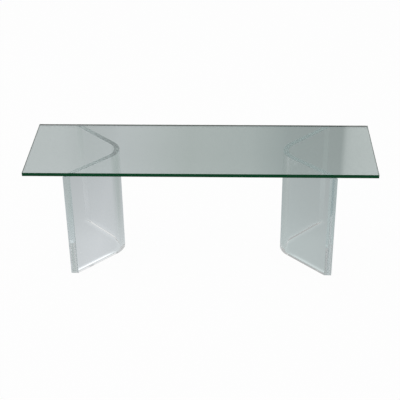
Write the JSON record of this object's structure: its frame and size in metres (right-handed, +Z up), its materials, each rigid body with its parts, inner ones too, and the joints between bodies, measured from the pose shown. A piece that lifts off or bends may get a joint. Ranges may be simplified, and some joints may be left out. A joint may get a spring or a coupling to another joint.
{
  "type": "coffee table",
  "caption": "Low rectangular table: a plain glass slab rests loose on upright bent sheets of clear acrylic, set bend to bend, with their wings opening towards the table's ends.",
  "frame": {"origin": "on the floor, under the middle of the glass top", "axes": "+X along the length of the table, +Y from front to back, +Z up"},
  "size_m": [1.22, 0.368, 0.4182],
  "materials": {
    "float_glass": "polished, ground edges",
    "clear_acrylic": "polished, bent hot, edges polished",
    "clear_vinyl": "clear, soft"
  },
  "bodies": {
    "left_support": {"left_pedestal": "clear_acrylic", "left_front_bumper": "clear_vinyl", "left_bend_bumper": "clear_vinyl", "left_rear_bumper": "clear_vinyl"},
    "right_support": {"right_pedestal": "clear_acrylic", "right_front_bumper": "clear_vinyl", "right_bend_bumper": "clear_vinyl", "right_rear_bumper": "clear_vinyl"},
    "top": {"glass_top": "float_glass"}
  },
  "joints": [
    {"name": "glass_lift", "type": "slide", "parent": "left_support", "child": "top", "axis": [0, 0, 1], "range_m": [0, 0.3]},
    {"name": "pedestal_spacing", "type": "slide", "parent": "left_support", "child": "right_support", "axis": [1, 0, 0], "range_m": [-0.2, 0.12]}
  ]
}
